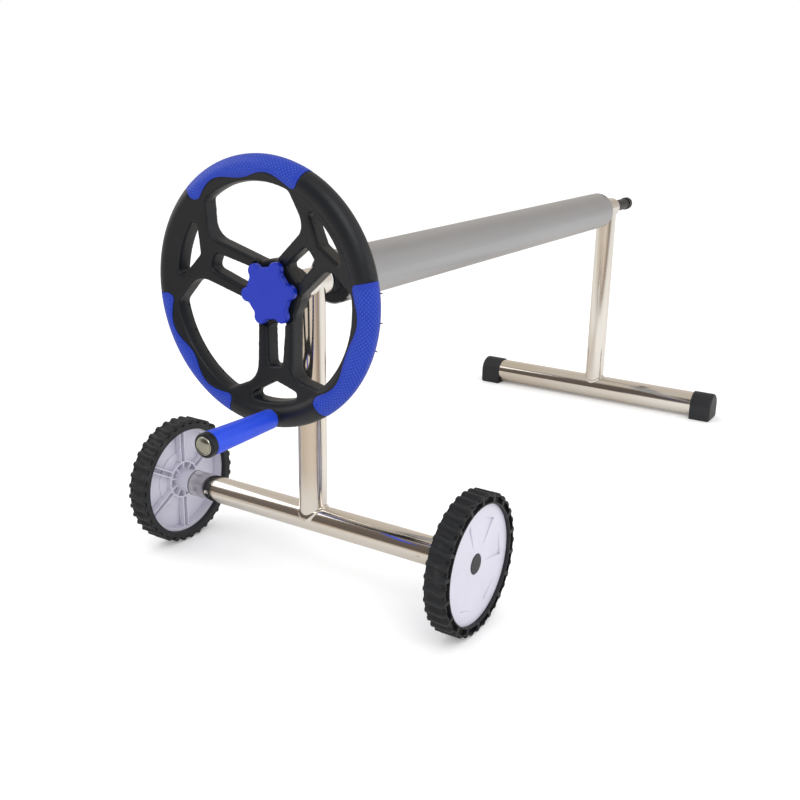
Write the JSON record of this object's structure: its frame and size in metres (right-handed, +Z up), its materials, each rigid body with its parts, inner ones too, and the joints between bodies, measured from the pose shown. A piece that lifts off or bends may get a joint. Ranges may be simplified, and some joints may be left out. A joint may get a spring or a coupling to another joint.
{
  "type": "cover reel",
  "caption": "Portable pool cover reel: a long roller tube on two steel T stands, with a spoked handwheel and crank handle on a wheeled end and capped feet at the far end.",
  "frame": {"origin": "on the floor, under the middle of the object's bounding box", "axes": "+Z up; +Y runs along the roller from the handwheel to the far stand; +X to the right as seen from the handwheel"},
  "size_m": [0.584, 1.5126, 0.6405],
  "materials": {
    "stainless": "mirror-polished stainless tube",
    "steel_fixings": "bright zinc or chrome plated",
    "roller_skin": "satin anodised extrusion",
    "shaft_black": "satin black coated tube",
    "white_nylon": "turned nylon",
    "white_plastic": "injection moulded, slightly glossy",
    "tyre_rubber": "moulded rubber lugs",
    "grey_plastic": "dark grey moulding",
    "black_plastic": "fine-grained black moulding",
    "blue_grip": "dimpled soft blue inlay",
    "blue_plastic": "satin blue moulding"
  },
  "bodies": {
    "near_stand": {"near_base_tube": "stainless", "near_post": "stainless", "near_weld": "stainless", "near_bearing_sleeve": "stainless", "near_front_bush": "white_nylon", "near_back_bush": "white_nylon", "insert_screws": "steel_fixings", "left_axle_insert": "grey_plastic", "right_axle_insert": "grey_plastic", "left_axle_cap": "grey_plastic", "right_axle_cap": "grey_plastic"},
    "left_wheel": {"left_wheel_disc": "white_plastic", "left_tyre": "tyre_rubber"},
    "right_wheel": {"right_wheel_disc": "white_plastic", "right_tyre": "tyre_rubber"},
    "reel": {"roller_tube": "roller_skin", "near_end_plug": "black_plastic", "far_end_plug": "black_plastic", "near_shaft": "shaft_black", "far_shaft": "shaft_black", "far_shaft_cap": "black_plastic", "handwheel_body": "black_plastic", "top_grip": "blue_grip", "right_grip": "blue_grip", "left_grip": "blue_grip", "handle_bolt": "steel_fixings", "handle_washer": "steel_fixings", "handle_nut": "steel_fixings"},
    "star_knob": {"star_knob": "blue_plastic", "clamp_stud": "steel_fixings"},
    "crank_handle": {"handle_sleeve": "blue_plastic", "handle_end_ring": "black_plastic"},
    "far_stand": {"far_base_tube": "stainless", "far_post": "stainless", "far_weld": "stainless", "far_bearing_sleeve": "stainless", "far_front_bush": "white_nylon", "far_back_bush": "white_nylon", "left_foot": "black_plastic", "right_foot": "black_plastic"}
  },
  "joints": [
    {"name": "left_wheel_roll", "type": "hinge", "parent": "near_stand", "child": "left_wheel", "pos_m": [-0.271, -0.50175, 0.102], "axis": [1, 0, 0], "continuous": true},
    {"name": "right_wheel_roll", "type": "hinge", "parent": "near_stand", "child": "right_wheel", "pos_m": [0.271, -0.50175, 0.102], "axis": [1, 0, 0], "continuous": true},
    {"name": "reel_spin", "type": "hinge", "parent": "near_stand", "child": "reel", "pos_m": [0, -0.50175, 0.459], "axis": [0, 1, 0], "continuous": true},
    {"name": "far_stand_swing", "type": "hinge", "parent": "near_stand", "child": "far_stand", "pos_m": [0, 0.62625, 0.459], "axis": [0, 1, 0], "continuous": true},
    {"name": "knob_turn", "type": "hinge", "parent": "reel", "child": "star_knob", "pos_m": [0, -0.59175, 0.459], "axis": [0, -1, 0], "range_deg": [0, 360]},
    {"name": "crank_spin", "type": "hinge", "parent": "reel", "child": "crank_handle", "pos_m": [0.02424, -0.68175, 0.2968], "axis": [0, 1, 0], "continuous": true}
  ]
}
